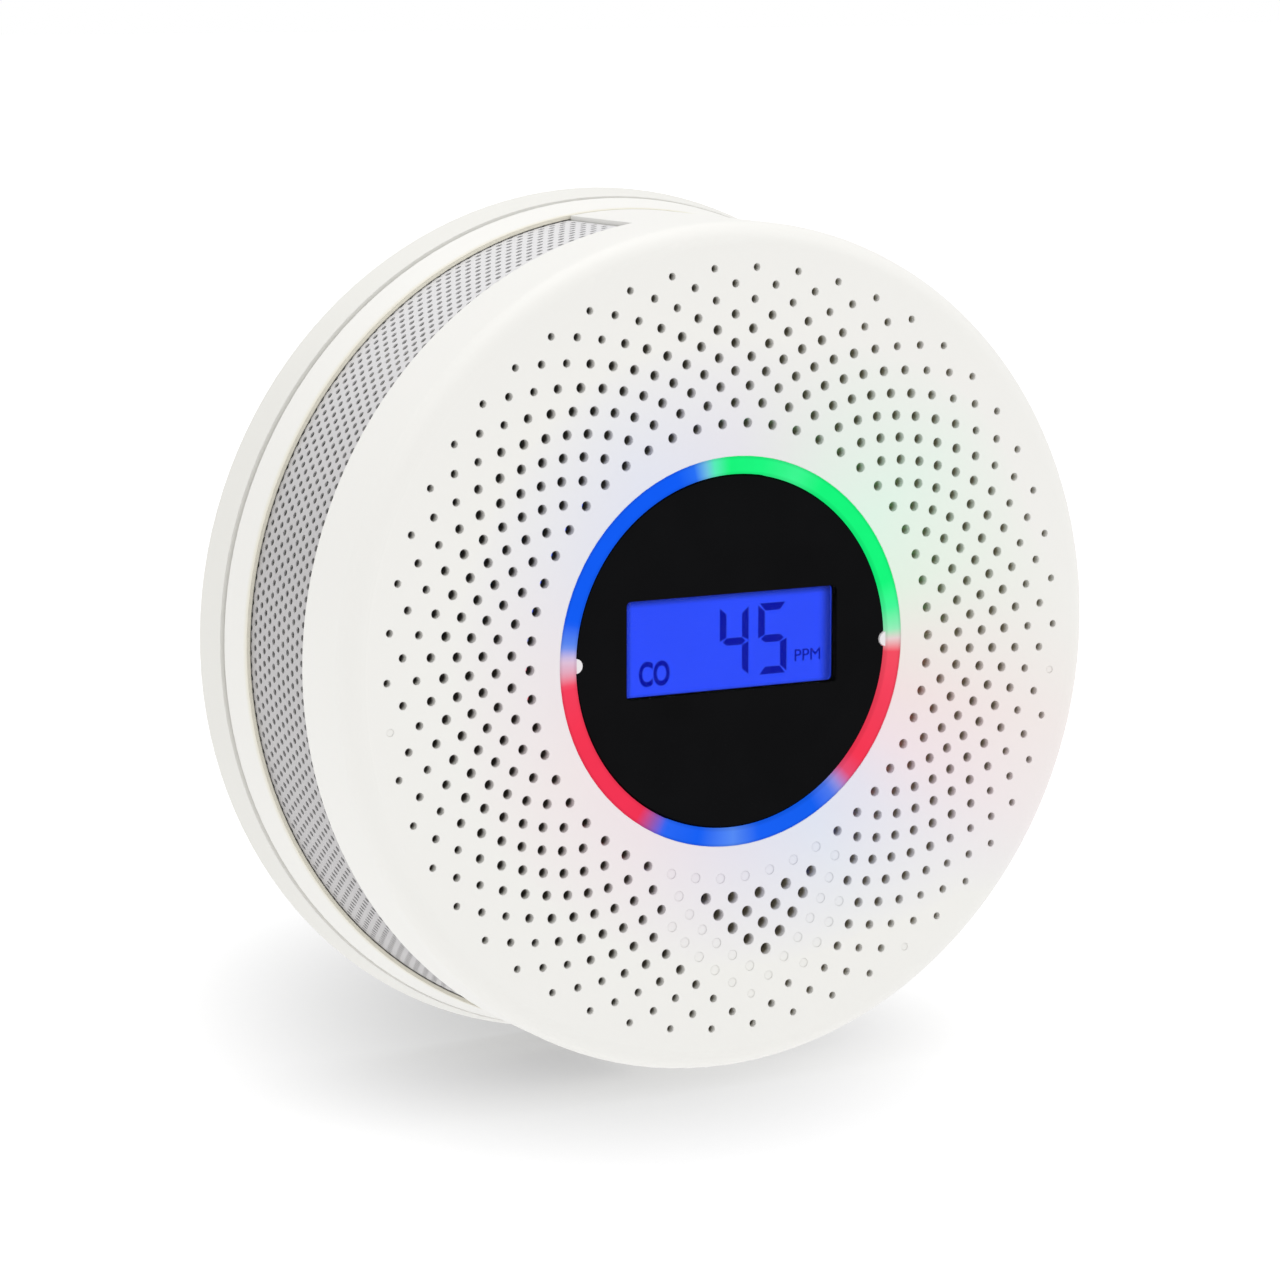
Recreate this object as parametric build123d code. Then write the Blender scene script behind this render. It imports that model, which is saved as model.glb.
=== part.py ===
from build123d import *
import os
from math import cos, radians, sin

os.makedirs("parts", exist_ok=True)

# Carbon monoxide detector, millimetres and degrees.
# Every sub-part is drawn in the "plan" frame: x to the right, y up, z out of the wall towards the room.
# save() turns it into the row frame: +Z up, front facing -Y, origin at the centre of the wall face.
# "low" and "high" are heights off the wall.

# ---- overall sizes ----
DEPTH = 41.0                    # wall to front face
COVER_R = 57.5
COVER_EDGE = 28.0               # rear edge of the front cover's flank
RIM_TOP = 10.5                  # front edge of the rear housing
RIM_TOP_R = 57.55
RIM_REAR_R = 58.8
HOUSING_REAR = 5.5              # rear face of the rear housing
PLATE_TOP = 5.0
PLATE_TOP_R = 59.0
PLATE_R = 60.0
GAP = 0.05                      # air between parts that rest on each other
SLIDE_GAP = 0.08                # radial clearance of the moving fits

# ---- front cover ----
COVER_PLATE = 2.2
COVER_WALL = 2.0
RIM_FILLET = 2.9
REBATE_R = 56.95                # step that hides the front edge of the side screens
REBATE_DEPTH = 1.2
PILLAR_HALF_ANGLE = 8.5
PILLAR_ANGLES = (90, 270)
RING_OPENING_R = 26.45
BOSS_ANGLES = (45, 135, 225, 315)
BOSS_PITCH_R = 50.5
BOSS_R = 3.2
PILOT_R = 1.5

# ---- perforations: rings of evenly spaced holes, every other ring turned by half a step ----
HOLES_PER_RING = 50
FIRST_RING_R = 30.85
RING_GROWTH = 1.0434            # each ring is this much larger than the last ...
EXTRA_GROWTH = 0.045            # ... plus an extra that halves from ring to ring
EXTRA_DECAY = 0.52
HOLE_RADII = (0.67,) * 7 + (0.62,) + (0.55,) * 2 + (0.5,)
SOUNDER_HOLE_R = 0.8
# ring: (first hole, last hole), counted counter-clockwise from the right
SOUNDER_HOLES = {1: (36, 40), 2: (37, 40), 3: (37, 39), 4: (38, 39), 5: (38, 38)}
CLOSED_HOLES = {0: (35, 41), 1: (35, 41), 2: (36, 41), 3: (35, 40), 4: (36, 41),
                5: (36, 40), 6: (37, 40), 7: (37, 39), 8: (38, 38)}
LONE_CLOSED_HOLES = ((10, 26), (10, 42), (10, 49))
DIMPLE_DEPTH = 0.12

# ---- side screens ----
SCREEN_R = 56.9
SCREEN_SHEET = 0.5
SCREEN_END_GAP = 0.35           # degrees between a screen's end and the pillar

# ---- light ring and the press-to-test display ----
RING_INNER_R = 24.05
RING_OUTER_R = 26.4
RING_REAR = 30.4
RING_FLANGE_R = 27.7
RING_SHOULDER = 36.0            # the button's flange stops against this step
RING_COUNTERBORE_R = 24.8
KEY_R = 1.0                     # two keys stop the button turning
LENS_FRONT = DEPTH - 0.3
LENS_SHEET = 1.0
BUTTON_R = RING_INNER_R - SLIDE_GAP
BUTTON_SKIRT_R = 22.7
BUTTON_PLATE = 1.05
BUTTON_REAR = 34.8
BUTTON_FLANGE = 1.1
BUTTON_TRAVEL = 0.6
WINDOW_W = 32.3
WINDOW_H = 13.0
WINDOW_Y = 1.32
WINDOW_LIP = 0.4
POST_Y = -16.5
POST_R = 2.0

# ---- display module, carried by the button ----
LCD_Y = 1.0
LCD_W = 36.0
LCD_H = 18.0
LCD_SHEET = 1.8
BACKLIGHT_SHEET = 1.6
BACKLIGHT_H = 14.4
ELASTOMER_H = 2.6
FRAME_W = 38.4
FRAME_H = 20.6
DISPLAY_BOARD_SHEET = 1.0

# ---- main board ----
BOARD_R = 54.0
BOARD_TOP = 29.0
BOARD_SHEET = 1.6
BOARD_SCREW_X = 42.0
LED_COUNT = 12
LED_SIDE = 2.0
LED_HEIGHT = 0.9
SWITCH_SIDE = 6.0
SWITCH_HEIGHT = 3.5
PLUNGER_R = 1.75
RIBBON_W = 12.0
RIBBON_SHEET = 0.15
RIBBON_Y = 7.0
CONNECTOR_HEIGHT = 2.4

# ---- sounder ----
HORN_ANGLE = 277.2
HORN_PITCH_R = 39.9
HORN_R = 11.0
HORN_WALL = 1.2
HORN_TOP = 37.6
HORN_OUTLET_R = 5.0
PIEZO_LEVEL = 33.0
BRASS_R = 9.6
BRASS_SHEET = 0.25
CERAMIC_R = 7.2
CERAMIC_SHEET = 0.2

# ---- carbon monoxide cell ----
CELL_Y = 34.0
CELL_R = 10.0
CELL_REAR = 13.0
CAP_R = 10.6
CAP_REAR = 10.8
CAP_SKIRT = 5.0
INLET_R = 2.5
FILTER_R = 5.0
PIN_R = 0.5
PIN_PITCH_R = 6.5

# ---- rear housing ----
FLOOR_SHEET = 2.0
HOUSING_WALL_R = 55.2
REBATE_FLOOR = 9.0
SEAM_R = 57.05                  # inside of the rim; leaves a dark seam round the screens
POST_OUTER_R = 4.1
COUNTERBORE_R = 3.1
SCREW_SEAT = 22.0
SPIGOT_R = 37.92
SPIGOT_INNER_R = 36.4
SPIGOT_REAR = 0.6
LUG_ANGLES = (90, 210, 330)
LUG_HALF_ANGLE = 7.0
LUG_INNER_R = 50.6
LUG_NECK_R = 53.2
LUG_FOOT_R = 56.4
LUG_REAR = 2.7
LUG_FOOT = 0.9

# ---- battery compartment ----
TRAY_HALF_W = 29.3
TRAY_HALF_H = 16.0
TRAY_WALL = 1.5
TRAY_TOP = 24.0
BATTERY_R = 7.1
BATTERY_LENGTH = 50.2
NUB_R = 2.6
NUB_LENGTH = 1.0
BATTERY_Y = 7.6
BATTERY_LEVEL = 16.6
CONTACT_SHEET = 0.35
CONTACT_SIDE = 12.0
SPRING_WIRE_R = 0.4
SPRING_R = 3.6
SPRING_TURNS = 4

# ---- battery door ----
DOOR_SHEET = 1.6
DOOR_GAP = 0.2
HINGE_Y = -14.9
HINGE_LEVEL = 6.5
HINGE_PIN_R = 0.6
HINGE_BARREL_R = 1.25
HINGE_EDGE_Y = -16.4
LABEL_W = 44.0
LABEL_H = 18.0
LABEL_SHEET = 0.15
GRIP_W = 12.0                   # finger ridges by the door's opening edge
GRIP_RISE = 0.4
GRIP_PITCH = 1.3

# ---- mounting plate ----
WEB_SHEET = 2.4
PLATE_WALL_R = 57.0
PLATE_BORE_R = SPIGOT_R + SLIDE_GAP
LEDGE_INNER_R = 53.6
LEDGE_LOW = 3.8
LEDGE_HIGH = 4.7
LEDGE_HALF_ANGLE = 7.25
STOP_ANGLES = (-8.4, 23.4)      # rotation stops either side of each lug's travel
STOP_HALF_ANGLE = 1.0
WALL_HOLE_R = 2.2
WALL_HOLE_PITCH = 88.9          # hole spacing of a 3.5 inch round box
WALL_SLOT_LENGTH = 8.0
POCKET_DEPTH = 0.8              # coring on the wall side, between the screw holes
POCKET_INNER_R = 41.0
POCKET_OUTER_R = 56.0
POCKET_HALF_ANGLE = 31.0


# ---- helpers ----
def disc(radius, low, high, x=0.0, y=0.0):
    return Pos(x, y, low) * Cylinder(radius, high - low, align=(Align.CENTER, Align.CENTER, Align.MIN))


def tube(outer, inner, low, high, x=0.0, y=0.0):
    return disc(outer, low, high, x, y) - disc(inner, low, high, x, y)


def block(width, height, low, high, x=0.0, y=0.0):
    return Pos(x, y, low) * Box(width, height, high - low, align=(Align.CENTER, Align.CENTER, Align.MIN))


def rounded_block(width, height, corner, low, high, x=0.0, y=0.0):
    outline = Pos(x, y, low) * RectangleRounded(width, height, corner)
    return extrude(outline, high - low)


def sector(inner, outer, low, high, middle, half_angle):
    """Piece of a tube, half_angle either side of the angle middle."""
    profile = Plane.XZ * Pos((inner + outer) / 2, (low + high) / 2) * Rectangle(outer - inner, high - low)
    return Rot(0, 0, middle - half_angle) * revolve(profile, Axis.Z, 2 * half_angle)


def polar(radius, angle):
    return radius * cos(radians(angle)), radius * sin(radians(angle))


def save(shape, node):
    solids = [Rot(90, 0, 0) * solid for solid in shape.solids()]
    export_step(solids[0] if len(solids) == 1 else Compound(solids), f"parts/{node}.step")


# ---- front cover ----
def ring_radius(ring):
    radius = FIRST_RING_R
    for step in range(ring):
        radius *= RING_GROWTH + EXTRA_GROWTH * EXTRA_DECAY ** step
    return radius


def hole_centre(ring, index):
    angle = 360 / HOLES_PER_RING * (index + (ring % 2) / 2)
    return polar(ring_radius(ring), angle)


def listed(ring, index, spans):
    first, last = spans.get(ring, (1, 0))
    return first <= index <= last


def cover_holes():
    """Centre and radius of every open hole, and of every closed dimple."""
    opened = []
    closed = []
    for ring, radius in enumerate(HOLE_RADII):
        for index in range(HOLES_PER_RING):
            centre = hole_centre(ring, index)
            if listed(ring, index, SOUNDER_HOLES):
                opened.append((centre, SOUNDER_HOLE_R))
            elif listed(ring, index, CLOSED_HOLES) or (ring, index) in LONE_CLOSED_HOLES:
                closed.append((centre, radius))
            else:
                opened.append((centre, radius))
    return opened, closed


def perforated_plate(opened, low, outer_r):
    circles = [Wire.make_circle(radius, Plane((x, y, low))) for (x, y), radius in opened]
    outline = Wire.make_circle(outer_r, Plane((0, 0, low)))
    centre = Wire.make_circle(RING_OPENING_R, Plane((0, 0, low)))
    return extrude(Face(outline, [centre] + circles), COVER_PLATE, dir=(0, 0, 1))


def cover_rim():
    inner_r = COVER_R - COVER_WALL
    rebate_top = COVER_EDGE + REBATE_DEPTH
    plate_rear = DEPTH - COVER_PLATE
    join_r = COVER_R - RIM_FILLET - 0.6
    top = Line((join_r, DEPTH), (COVER_R - RIM_FILLET, DEPTH))
    bend = RadiusArc((COVER_R - RIM_FILLET, DEPTH), (COVER_R, DEPTH - RIM_FILLET), RIM_FILLET)
    rest = Polyline((COVER_R, DEPTH - RIM_FILLET), (COVER_R, COVER_EDGE), (REBATE_R, COVER_EDGE),
                    (REBATE_R, rebate_top), (inner_r, rebate_top), (inner_r, plate_rear),
                    (join_r, plate_rear), (join_r, DEPTH))
    return revolve(Plane.XZ * make_face(Curve() + [top, bend, rest]), Axis.Z)


def front_cover():
    opened, closed = cover_holes()
    plate_rear = DEPTH - COVER_PLATE
    cover = perforated_plate(opened, plate_rear, COVER_R - RIM_FILLET - 0.3) + cover_rim()
    for angle in PILLAR_ANGLES:
        cover += sector(COVER_R - COVER_WALL, COVER_R, RIM_TOP + GAP, COVER_EDGE + REBATE_DEPTH,
                        angle, PILLAR_HALF_ANGLE)
    for angle in BOSS_ANGLES:
        x, y = polar(BOSS_PITCH_R, angle)
        cover += disc(BOSS_R, BOARD_TOP + GAP, plate_rear, x, y)
        cover -= disc(PILOT_R, BOARD_TOP + GAP, plate_rear - 1, x, y)
    dimples = [disc(radius, DEPTH - DIMPLE_DEPTH, DEPTH, x, y) for (x, y), radius in closed]
    return cover - dimples


# ---- side screens: one curved sheet each side, between the cover's pillars ----
def side_screens():
    low = REBATE_FLOOR + 2 * GAP
    high = COVER_EDGE + REBATE_DEPTH - 2 * GAP
    half_angle = 90 - PILLAR_HALF_ANGLE - SCREEN_END_GAP
    sheets = [sector(SCREEN_R - SCREEN_SHEET, SCREEN_R, low, high, side, half_angle) for side in (0, 180)]
    return Compound(children=sheets)


# ---- light ring ----
def light_ring():
    body = tube(RING_OUTER_R, RING_INNER_R, RING_REAR, DEPTH)
    body -= disc(RING_COUNTERBORE_R, RING_REAR, RING_SHOULDER)
    flange_top = DEPTH - COVER_PLATE - GAP
    body += tube(RING_FLANGE_R, RING_OUTER_R - 0.5, flange_top - 1.2, flange_top)
    for side in (-1, 1):
        body += disc(KEY_R, RING_SHOULDER, DEPTH, side * RING_INNER_R)
    return body


# ---- press-to-test display ----
def key_notches(low, high):
    return [disc(KEY_R + SLIDE_GAP, low, high, side * RING_INNER_R) for side in (-1, 1)]


def display_lens():
    low = LENS_FRONT - LENS_SHEET
    lens = disc(BUTTON_R, low, LENS_FRONT)
    lens = chamfer(lens.edges().group_by(Axis.Z)[-1], 0.25)
    return lens - key_notches(low, LENS_FRONT)


def button_body():
    front = LENS_FRONT - LENS_SHEET - GAP
    plate_rear = front - BUTTON_PLATE
    body = disc(BUTTON_R, BUTTON_REAR, front)
    body += disc(RING_COUNTERBORE_R - 0.1, BUTTON_REAR, BUTTON_REAR + BUTTON_FLANGE)
    body -= disc(BUTTON_SKIRT_R, BUTTON_REAR, plate_rear)
    body -= rounded_block(WINDOW_W, WINDOW_H, 0.6, plate_rear, front, y=WINDOW_Y)
    body -= block(LCD_W + 0.3, LCD_H + 0.3, plate_rear, front - WINDOW_LIP, y=LCD_Y)
    switch_top = BOARD_TOP + GAP + SWITCH_HEIGHT
    body += disc(POST_R, switch_top + 1.0, plate_rear, y=POST_Y)
    return body - key_notches(BUTTON_REAR, front)


# ---- display module ----
LCD_FRONT = LENS_FRONT - LENS_SHEET - GAP - WINDOW_LIP - GAP
LCD_REAR = LCD_FRONT - LCD_SHEET
BACKLIGHT_REAR = LCD_REAR - GAP - BACKLIGHT_SHEET
DISPLAY_BOARD_TOP = BACKLIGHT_REAR - GAP
DISPLAY_BOARD_REAR = DISPLAY_BOARD_TOP - DISPLAY_BOARD_SHEET


def lcd_panel():
    return block(LCD_W, LCD_H, LCD_REAR, LCD_FRONT, y=LCD_Y)


def lcd_backlight():
    top_edge = LCD_Y + LCD_H / 2
    return block(LCD_W, BACKLIGHT_H, BACKLIGHT_REAR, LCD_REAR - GAP, y=top_edge - BACKLIGHT_H / 2)


def lcd_elastomer():
    bottom_edge = LCD_Y - LCD_H / 2
    return block(LCD_W - 2, ELASTOMER_H, BACKLIGHT_REAR, LCD_REAR - GAP, y=bottom_edge + ELASTOMER_H / 2 + 0.4)


def lcd_frame():
    top = LENS_FRONT - LENS_SHEET - BUTTON_PLATE - 2 * GAP
    frame = block(FRAME_W, FRAME_H, BACKLIGHT_REAR, top, y=LCD_Y)
    return frame - block(LCD_W + 0.1, LCD_H + 0.1, BACKLIGHT_REAR, top, y=LCD_Y)


def display_board():
    return block(FRAME_W - 0.4, FRAME_H - 0.4, DISPLAY_BOARD_REAR, DISPLAY_BOARD_TOP, y=LCD_Y)


def display_ribbon():
    """Flat flex: leaves the display board, folds back on itself and dips into its connector."""
    start = DISPLAY_BOARD_REAR - GAP
    fold_r = 1.0
    first = start - RIBBON_SHEET
    second = first - 2 * fold_r
    end = BOARD_TOP + GAP + CONNECTOR_HEIGHT / 2 + 0.2
    half = RIBBON_SHEET / 2
    path = Curve() + [
        Line((RIBBON_Y - 6, first + half), (RIBBON_Y + 2, first + half)),
        RadiusArc((RIBBON_Y + 2, first + half), (RIBBON_Y + 2, second + half), fold_r),
        Line((RIBBON_Y + 2, second + half), (RIBBON_Y + 0.5, second + half)),
        RadiusArc((RIBBON_Y + 0.5, second + half), (RIBBON_Y, second + half - 0.5), -0.5),
        Line((RIBBON_Y, second + half - 0.5), (RIBBON_Y, end)),
    ]
    profile = Plane.YZ.offset(-RIBBON_W / 2) * trace(path, RIBBON_SHEET)
    return extrude(profile, RIBBON_W, dir=(1, 0, 0))


def ribbon_connector():
    low = BOARD_TOP + GAP
    body = block(RIBBON_W + 4, 3.6, low, low + CONNECTOR_HEIGHT, y=RIBBON_Y)
    return body - block(RIBBON_W + 0.6, 0.6, low + 0.4, low + CONNECTOR_HEIGHT, y=RIBBON_Y)


# ---- main board and its components ----
BOARD_REAR = BOARD_TOP - BOARD_SHEET
TOP_SIDE = BOARD_TOP + GAP
REAR_SIDE = BOARD_REAR - GAP


def sensor_pin_centres():
    corners = [polar(PIN_PITCH_R, angle) for angle in (90, 210, 330)]
    return [(x, CELL_Y + y) for x, y in corners]


def main_board():
    board = disc(BOARD_R, BOARD_REAR, BOARD_TOP)
    for angle in BOSS_ANGLES:
        board -= disc(PILOT_R + 0.2, BOARD_REAR, BOARD_TOP, *polar(BOSS_PITCH_R, angle))
    for side in (-1, 1):
        board -= disc(1.4, BOARD_REAR, BOARD_TOP, side * BOARD_SCREW_X)
    for x, y in sensor_pin_centres():
        board -= disc(PIN_R + GAP, BOARD_REAR, BOARD_TOP, x, y)
    return board


def ring_leds():
    radius = (RING_COUNTERBORE_R + RING_OUTER_R) / 2
    led = block(LED_SIDE, LED_SIDE, TOP_SIDE, TOP_SIDE + LED_HEIGHT, x=radius)
    step = 360 / LED_COUNT
    return Compound(children=[Rot(0, 0, step * (index + 0.5)) * led for index in range(LED_COUNT)])


def test_switch():
    base = block(SWITCH_SIDE, SWITCH_SIDE, TOP_SIDE, TOP_SIDE + SWITCH_HEIGHT, y=POST_Y)
    return base - disc(PLUNGER_R + 0.07, TOP_SIDE + 1.0, TOP_SIDE + SWITCH_HEIGHT, y=POST_Y)


def switch_plunger():
    top = TOP_SIDE + SWITCH_HEIGHT + 1.0 - GAP
    return disc(PLUNGER_R, TOP_SIDE + 1.0 + BUTTON_TRAVEL + 0.2, top, y=POST_Y)


def microcontroller():
    return block(9, 9, REAR_SIDE - 1.4, REAR_SIDE, x=-26, y=30)


def sounder_coil():
    coil = disc(4.5, REAR_SIDE - 9, REAR_SIDE, 26, -30)
    return coil - disc(1.6, REAR_SIDE - 9, REAR_SIDE - 2, 26, -30)


def capacitors():
    places = ((22, 28), (35, 26))
    return Compound(children=[disc(4, REAR_SIDE - 9.5, REAR_SIDE, x, y) for x, y in places])


def board_screws():
    def screw(x):
        shank = disc(1.2, BOARD_REAR - 6, TOP_SIDE, x)
        head = disc(2.6, TOP_SIDE, TOP_SIDE + 1.7, x)
        return shank + head - block(3.2, 0.7, TOP_SIDE + 0.9, TOP_SIDE + 1.7, x)
    return Compound(children=[screw(-BOARD_SCREW_X), screw(BOARD_SCREW_X)])


# ---- sounder ----
HORN_X, HORN_Y = polar(HORN_PITCH_R, HORN_ANGLE)


def horn_housing():
    inner_r = HORN_R - HORN_WALL
    horn = tube(HORN_R, inner_r, TOP_SIDE, HORN_TOP, HORN_X, HORN_Y)
    horn += tube(HORN_R, HORN_OUTLET_R, HORN_TOP - HORN_WALL, HORN_TOP, HORN_X, HORN_Y)
    ledge_top = PIEZO_LEVEL - GAP
    return horn + tube(inner_r + 0.5, CERAMIC_R + 0.8, ledge_top - 0.8, ledge_top, HORN_X, HORN_Y)


def horn_gasket():
    return tube(HORN_R - 0.2, HORN_R - 2.4, HORN_TOP + GAP, DEPTH - COVER_PLATE - GAP, HORN_X, HORN_Y)


def piezo_plate():
    return disc(BRASS_R, PIEZO_LEVEL, PIEZO_LEVEL + BRASS_SHEET, HORN_X, HORN_Y)


def piezo_ceramic():
    high = PIEZO_LEVEL - 0.02
    return disc(CERAMIC_R, high - CERAMIC_SHEET, high, HORN_X, HORN_Y)


def horn_contacts():
    ceramic_rear = PIEZO_LEVEL - 0.02 - CERAMIC_SHEET
    inner = disc(0.6, TOP_SIDE, ceramic_rear - 0.02, HORN_X, HORN_Y)
    outer = disc(0.35, TOP_SIDE, PIEZO_LEVEL - 0.02, HORN_X + CERAMIC_R + 0.4, HORN_Y)
    return Compound(children=[inner, outer])


# ---- carbon monoxide cell, hung from the back of the board ----
def co_sensor():
    return disc(CELL_R, CELL_REAR, REAR_SIDE, y=CELL_Y)


def sensor_cap():
    cap = disc(CAP_R, CAP_REAR, CAP_REAR + CAP_SKIRT, y=CELL_Y)
    cap -= disc(CELL_R + GAP, CAP_REAR + 1, CAP_REAR + CAP_SKIRT, y=CELL_Y)
    return cap - disc(INLET_R, CAP_REAR, CAP_REAR + 1, y=CELL_Y)


def sensor_filter():
    return disc(FILTER_R, CAP_REAR + 1 + GAP, CELL_REAR - GAP, y=CELL_Y)


def sensor_pins():
    return Compound(children=[disc(PIN_R, REAR_SIDE + 0.02, BOARD_TOP + 1.2, x, y)
                              for x, y in sensor_pin_centres()])


# ---- rear housing ----
def housing_shell():
    floor_top = HOUSING_REAR + FLOOR_SHEET
    outline = Polyline((SPIGOT_INNER_R - 2, HOUSING_REAR), (RIM_REAR_R - 0.4, HOUSING_REAR),
                       (RIM_REAR_R, HOUSING_REAR + 0.4), (RIM_TOP_R, RIM_TOP), (SEAM_R, RIM_TOP),
                       (SEAM_R, REBATE_FLOOR), (HOUSING_WALL_R, REBATE_FLOOR),
                       (HOUSING_WALL_R, floor_top), (SPIGOT_INNER_R - 2, floor_top), close=True)
    shell = revolve(Plane.XZ * make_face(outline), Axis.Z)
    shell += disc(SPIGOT_INNER_R, HOUSING_REAR, floor_top)
    return shell + tube(SPIGOT_R, SPIGOT_INNER_R, SPIGOT_REAR, HOUSING_REAR + 1)


def housing_lugs():
    lugs = []
    for angle in LUG_ANGLES:
        lugs.append(sector(LUG_INNER_R, LUG_NECK_R, LUG_REAR, HOUSING_REAR + 1, angle, LUG_HALF_ANGLE))
        lugs.append(sector(LUG_NECK_R - 1, LUG_FOOT_R, LUG_REAR, LUG_REAR + LUG_FOOT, angle, LUG_HALF_ANGLE))
    return lugs


def battery_tray(housing):
    outer_w = 2 * (TRAY_HALF_W + TRAY_WALL)
    outer_h = TRAY_HALF_H - HINGE_EDGE_Y + 2 * TRAY_WALL
    centre_y = (TRAY_HALF_H + HINGE_EDGE_Y) / 2
    housing += block(outer_w, outer_h, HOUSING_REAR, TRAY_TOP + TRAY_WALL, y=centre_y)
    housing -= block(2 * TRAY_HALF_W, outer_h - 2 * TRAY_WALL, HOUSING_REAR, TRAY_TOP, y=centre_y)
    for x in (-TRAY_HALF_W, TRAY_HALF_W):
        for y in (-BATTERY_Y, BATTERY_Y):
            housing -= block(2.4, 4, TRAY_TOP, TRAY_TOP + TRAY_WALL, x - x / abs(x) * 1.2, y)
    return housing


def rear_housing():
    housing = battery_tray(housing_shell())
    housing += housing_lugs()
    for angle in BOSS_ANGLES:
        x, y = polar(BOSS_PITCH_R, angle)
        housing += disc(POST_OUTER_R, HOUSING_REAR, REAR_SIDE, x, y)
        housing -= disc(COUNTERBORE_R, HOUSING_REAR, SCREW_SEAT, x, y)
        housing -= disc(PILOT_R + 0.2, SCREW_SEAT, REAR_SIDE, x, y)
    for side in (-1, 1):
        housing += disc(3, HOUSING_REAR, REAR_SIDE, side * BOARD_SCREW_X)
        housing -= disc(1.25, BOARD_REAR - 7, REAR_SIDE, side * BOARD_SCREW_X)
    hinge_bore = Pos(0, HINGE_Y, HINGE_LEVEL) * Rot(0, 90, 0) * Cylinder(HINGE_PIN_R + 0.02, 61.4)
    finger_scoop = disc(4, HOUSING_REAR, HOUSING_REAR + 1.0, y=TRAY_HALF_H + 1)
    return housing - hinge_bore - finger_scoop


def cover_screws():
    def screw(x, y):
        head = disc(2.7, SCREW_SEAT - 2.2, SCREW_SEAT - 0.02, x, y)
        shank = disc(PILOT_R - 0.05, SCREW_SEAT - 0.02, BOARD_TOP + 7, x, y)
        drive = [Pos(x, y) * Rot(0, 0, turn) * block(3.4, 0.7, SCREW_SEAT - 2.2, SCREW_SEAT - 1.1)
                 for turn in (0, 90)]
        return head + shank - drive
    return Compound(children=[screw(*polar(BOSS_PITCH_R, angle)) for angle in BOSS_ANGLES])


# ---- batteries and their contacts ----
BATTERY_END = TRAY_HALF_W - CONTACT_SHEET - 2 * GAP


def battery(facing):
    """facing is +1 when the positive end points to +x."""
    can_length = BATTERY_LENGTH - NUB_LENGTH
    can = Cylinder(BATTERY_R, can_length, align=(Align.CENTER, Align.CENTER, Align.MIN))
    can = fillet(can.edges().filter_by(GeomType.CIRCLE), 0.6)
    nub = Pos(0, 0, can_length) * Cylinder(NUB_R, NUB_LENGTH, align=(Align.CENTER, Align.CENTER, Align.MIN))
    start = BATTERY_END - BATTERY_LENGTH
    cell = Rot(0, 90, 0) * (Pos(0, 0, start) * (can + nub))
    return Pos(0, facing * BATTERY_Y, BATTERY_LEVEL) * (Rot(0, 0, 0 if facing > 0 else 180) * cell)


def battery_springs():
    coil_length = BATTERY_END - (BATTERY_LENGTH - BATTERY_END) - 2 * SPRING_WIRE_R - 2 * GAP
    path = Helix(coil_length / SPRING_TURNS, coil_length, SPRING_R, cone_angle=-6)
    wire = Plane(path @ 0, z_dir=path % 0) * Circle(SPRING_WIRE_R)
    coil = Rot(0, 90, 0) * sweep(wire, path, is_frenet=True)
    start = -BATTERY_END + SPRING_WIRE_R + GAP
    upper = Pos(start, BATTERY_Y, BATTERY_LEVEL) * coil
    lower = Rot(0, 0, 180) * upper
    return Compound(children=[upper, lower])


def contact_plates():
    plates = []
    low = BATTERY_LEVEL - CONTACT_SIDE / 2
    for side in (-1, 1):
        x = side * (TRAY_HALF_W - GAP - CONTACT_SHEET / 2)
        for y in (-BATTERY_Y, BATTERY_Y):
            plate = block(CONTACT_SHEET, CONTACT_SIDE, low, low + CONTACT_SIDE, x, y)
            tail = block(CONTACT_SHEET, 3, low + CONTACT_SIDE - 1, REAR_SIDE, x, y)
            plates.append(plate + tail)
    return Compound(children=plates)


# ---- battery door ----
def battery_door():
    width = 2 * (TRAY_HALF_W - DOOR_GAP)
    top_y = TRAY_HALF_H - DOOR_GAP
    low = HINGE_LEVEL - DOOR_SHEET / 2
    high = HINGE_LEVEL + DOOR_SHEET / 2
    leaf = block(width, top_y - HINGE_Y, low, high, y=(top_y + HINGE_Y) / 2)
    barrel = Pos(0, HINGE_Y, HINGE_LEVEL) * Rot(0, 90, 0) * Cylinder(HINGE_BARREL_R, width)
    bore = Pos(0, HINGE_Y, HINGE_LEVEL) * Rot(0, 90, 0) * Cylinder(HINGE_PIN_R + 0.06, width)
    ribs = [block(1.2, 20, high, high + 1.2, x, 2) for x in (-18, 0, 18)]
    grips = [block(GRIP_W, 0.6, low - GRIP_RISE, low, y=top_y - 1.2 - step * GRIP_PITCH) for step in range(3)]
    return leaf + barrel + ribs + grips - bore


def door_hinge_pin():
    return Pos(0, HINGE_Y, HINGE_LEVEL) * Rot(0, 90, 0) * Cylinder(HINGE_PIN_R, 61.0)


def door_label():
    high = HINGE_LEVEL - DOOR_SHEET / 2 - 0.02
    return rounded_block(LABEL_W, LABEL_H, 1.5, high - LABEL_SHEET, high, y=1.5)


# ---- mounting plate ----
def plate_ring():
    outline = Polyline((PLATE_BORE_R, 0), (PLATE_R - 0.4, 0), (PLATE_R, 0.4), (PLATE_TOP_R, PLATE_TOP),
                       (PLATE_WALL_R, PLATE_TOP), (PLATE_WALL_R, WEB_SHEET), (PLATE_BORE_R, WEB_SHEET),
                       close=True)
    return revolve(Plane.XZ * make_face(outline), Axis.Z)


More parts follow.
